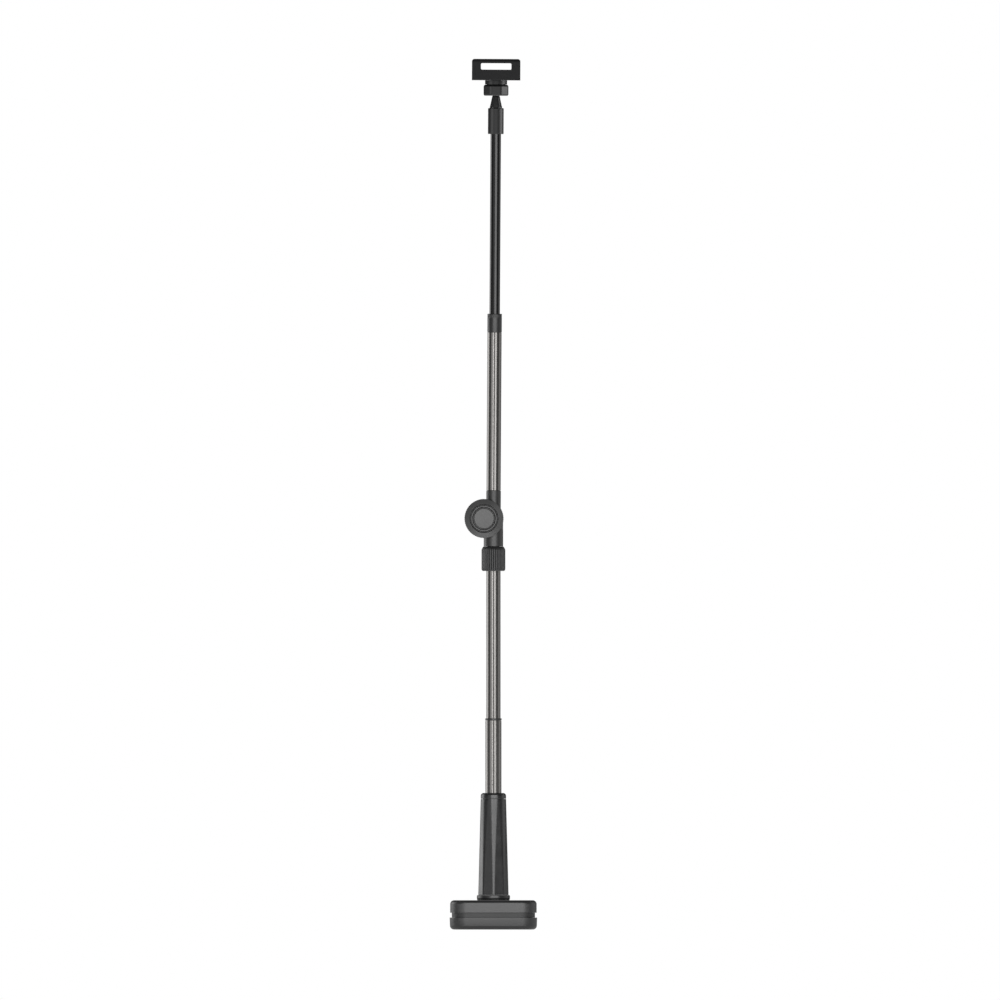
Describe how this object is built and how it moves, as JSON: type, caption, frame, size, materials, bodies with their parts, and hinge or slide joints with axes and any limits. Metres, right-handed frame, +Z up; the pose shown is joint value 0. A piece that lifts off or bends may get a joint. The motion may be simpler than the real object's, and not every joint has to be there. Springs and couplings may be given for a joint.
{
  "type": "selfie stick",
  "caption": "Telescopic selfie stick that stands on a weighted base, with a folding elbow, sliding rod, ball head and sprung phone clamp.",
  "frame": {"origin": "centre of the base's underside, on the pole's axis", "axes": "+Z up along the pole, -Y the front with the elbow's clamping knob, +X to the right seen from the front"},
  "size_m": [0.105, 0.105, 1.0449],
  "materials": {
    "dark_plastic": "fine moulded grain, dark grey",
    "satin_plastic": "satin black",
    "nylon": "natural nylon",
    "rubber": "matte black",
    "gunmetal": "warm gunmetal anodising",
    "black_metal": "gloss black",
    "iron": "as cast",
    "steel": "bright"
  },
  "bodies": {
    "stand": {"sole_pad": "rubber", "base_lower_shell": "dark_plastic", "counterweight": "iron", "base_waist_band": "satin_plastic", "base_upper_shell": "dark_plastic", "base_screw_1": "steel", "base_screw_2": "steel", "base_screw_3": "steel", "base_screw_4": "steel", "flange_ring": "dark_plastic", "grip_shell": "dark_plastic", "grip_guide_sleeve": "nylon", "grip_top_cap": "dark_plastic"},
    "outer_pole": {"outer_pole_tube": "gunmetal", "outer_pole_bush": "nylon", "outer_pole_end_ring": "satin_plastic"},
    "inner_pole": {"inner_pole_tube": "gunmetal", "inner_pole_bush": "nylon", "pole_top_ferrule": "steel", "lock_collet": "nylon"},
    "lock_nut": {"twist_lock_nut": "satin_plastic"},
    "elbow_lower": {"elbow_lower_body": "satin_plastic", "hinge_washer": "nylon", "hinge_bolt": "steel", "hinge_rear_cap": "satin_plastic"},
    "clamping_knob": {"hinge_knob": "satin_plastic", "hinge_knob_cap": "satin_plastic"},
    "upper_arm": {"elbow_upper_body": "satin_plastic", "upper_arm_tube": "gunmetal", "upper_arm_ferrule": "satin_plastic"},
    "rod": {"rod_tube": "black_metal", "rod_bush": "nylon", "stem_collar": "satin_plastic"},
    "ball": {"ball_stem": "black_metal"},
    "liner": {"ball_liner": "nylon"},
    "clamp": {"ball_socket": "satin_plastic", "clamp_body": "dark_plastic", "clamp_cover": "dark_plastic", "phone_rest_pad": "rubber", "fixed_jaw_pad": "rubber", "clamp_screw_1": "steel", "clamp_screw_2": "steel", "clamp_screw_3": "steel", "clamp_screw_4": "steel", "jaw_spring_left": "steel", "jaw_spring_right": "steel"},
    "head_nut": {"ball_nut": "satin_plastic"},
    "jaw": {"sliding_jaw": "dark_plastic", "sliding_jaw_pad": "rubber", "guide_rod_left": "steel", "guide_rod_right": "steel"}
  },
  "joints": [
    {"name": "outer_pole_slide", "type": "slide", "parent": "stand", "child": "outer_pole", "axis": [0, 0, -1], "range_m": [0, 0.086]},
    {"name": "inner_pole_slide", "type": "slide", "parent": "outer_pole", "child": "inner_pole", "axis": [0, 0, -1], "range_m": [0, 0.13]},
    {"name": "twist_lock_turn", "type": "hinge", "parent": "inner_pole", "child": "lock_nut", "pos_m": [0, 0, 0.445], "axis": [0, 0, 1], "range_deg": [0, 120]},
    {"name": "elbow_swivel", "type": "hinge", "parent": "inner_pole", "child": "elbow_lower", "pos_m": [0, 0, 0.46], "axis": [0, 0, 1], "continuous": true},
    {"name": "elbow_fold", "type": "hinge", "parent": "elbow_lower", "child": "upper_arm", "pos_m": [-0.0113, 0, 0.4933], "axis": [0, -1, 0], "range_deg": [0, 170]},
    {"name": "clamping_knob_turn", "type": "hinge", "parent": "elbow_lower", "child": "clamping_knob", "pos_m": [-0.0113, 0, 0.4933], "axis": [0, -1, 0], "range_deg": [0, 270]},
    {"name": "rod_slide", "type": "slide", "parent": "upper_arm", "child": "rod", "axis": [-0.0061, 0, -1], "range_m": [0, 0.155]},
    {"name": "head_swivel", "type": "hinge", "parent": "rod", "child": "ball", "pos_m": [0.00314, 0, 1.00792], "axis": [0.0061, 0, 1], "continuous": true},
    {"name": "ball_tilt_sideways", "type": "hinge", "parent": "ball", "child": "liner", "pos_m": [0.00314, 0, 1.00792], "axis": [0, 1, 0], "range_deg": [-20, 20]},
    {"name": "ball_tilt_fore_and_aft", "type": "hinge", "parent": "liner", "child": "clamp", "pos_m": [0.00314, 0, 1.00792], "axis": [1, 0, -0.0061], "range_deg": [-20, 20]},
    {"name": "ball_nut_turn", "type": "hinge", "parent": "clamp", "child": "head_nut", "pos_m": [0.00314, 0, 1.00792], "axis": [0.0061, 0, 1], "range_deg": [0, 90]},
    {"name": "jaw_slide", "type": "slide", "parent": "clamp", "child": "jaw", "axis": [0, 1, 0], "range_m": [0, 0.03], "stiffness_N_per_m": 150, "springref_m": -0.03, "deforming": ["jaw_spring_left", "jaw_spring_right"]}
  ]
}
